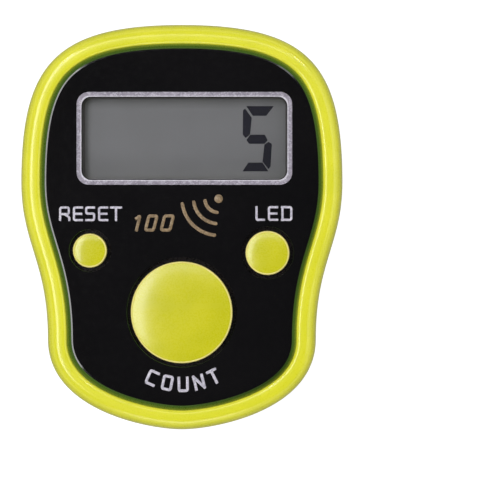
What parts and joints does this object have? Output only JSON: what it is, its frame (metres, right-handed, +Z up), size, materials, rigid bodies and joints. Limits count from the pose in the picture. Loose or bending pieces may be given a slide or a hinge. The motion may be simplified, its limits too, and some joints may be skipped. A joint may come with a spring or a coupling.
{
  "type": "digital finger counter",
  "caption": "Hand-worn digital tally counter: waisted case with a rim bead, a black face with a lit display, push buttons, a battery door and a pegged finger strap.",
  "frame": {"origin": "centre of the overall footprint, on the surface that the strap's flat underside rests on", "axes": "+Z up, out of the face; +Y along the case to the display end; +X to the right, seen from the face"},
  "size_m": [0.0274, 0.0344, 0.0275],
  "materials": {
    "case_abs": "moulded acid-yellow ABS, satin gloss",
    "button_abs": "moulded acid-yellow ABS, satin gloss",
    "faceplate": "black, high gloss, with printed labels",
    "window": "clear acrylic",
    "polarizer": "neutral grey film",
    "lcd_glass": "clear thin glass",
    "reflector": "silvery film",
    "light_guide": "milky diffuser sheet",
    "led_package": "moulded light-emitting diode",
    "zebra_rubber": "layered conductive rubber",
    "board": "green solder mask on glass-epoxy",
    "epoxy": "black potting epoxy",
    "resistor": "black chip with tinned ends",
    "capacitor": "tan chip with tinned ends",
    "switch_body": "moulded black nylon",
    "plunger": "moulded pale nylon",
    "cell_steel": "nickel-plated steel can",
    "contact_metal": "nickel-plated spring steel",
    "screw_steel": "zinc-plated steel",
    "strap_silicone": "black matt silicone"
  },
  "bodies": {
    "case": {"front_case": "case_abs", "rear_cover": "case_abs", "battery_door": "case_abs", "faceplate": "faceplate", "display_window": "window", "lcd_front_polarizer": "polarizer", "lcd_front_glass": "lcd_glass", "lcd_rear_glass": "lcd_glass", "lcd_reflector": "reflector", "light_guide": "light_guide", "backlight_led": "led_package", "zebra_strip": "zebra_rubber", "circuit_board": "board", "controller_chip": "epoxy", "resistor_1": "resistor", "resistor_2": "resistor", "capacitor_1": "capacitor", "capacitor_2": "capacitor", "count_switch": "switch_body", "reset_switch": "switch_body", "led_switch": "switch_body", "button_cell_right": "cell_steel", "button_cell_left": "cell_steel", "cell_bridge_plate": "contact_metal", "contact_negative": "contact_metal", "contact_positive": "contact_metal", "case_screw_1": "screw_steel", "case_screw_2": "screw_steel", "case_screw_3": "screw_steel", "case_screw_4": "screw_steel", "door_screw": "screw_steel", "strap": "strap_silicone"},
    "count_key": {"count_button": "button_abs", "count_plunger": "plunger"},
    "reset_key": {"reset_button": "button_abs", "reset_plunger": "plunger"},
    "led_key": {"led_button": "button_abs", "led_plunger": "plunger"}
  },
  "joints": [
    {"name": "count_press", "type": "slide", "parent": "case", "child": "count_key", "axis": [0, 0, -1], "range_m": [0, 0.0003], "stiffness_N_per_m": 1500, "springref_m": -0.0003},
    {"name": "reset_press", "type": "slide", "parent": "case", "child": "reset_key", "axis": [0, 0, -1], "range_m": [0, 0.0003], "stiffness_N_per_m": 1500, "springref_m": -0.0003},
    {"name": "led_press", "type": "slide", "parent": "case", "child": "led_key", "axis": [0, 0, -1], "range_m": [0, 0.0003], "stiffness_N_per_m": 1500, "springref_m": -0.0003}
  ]
}
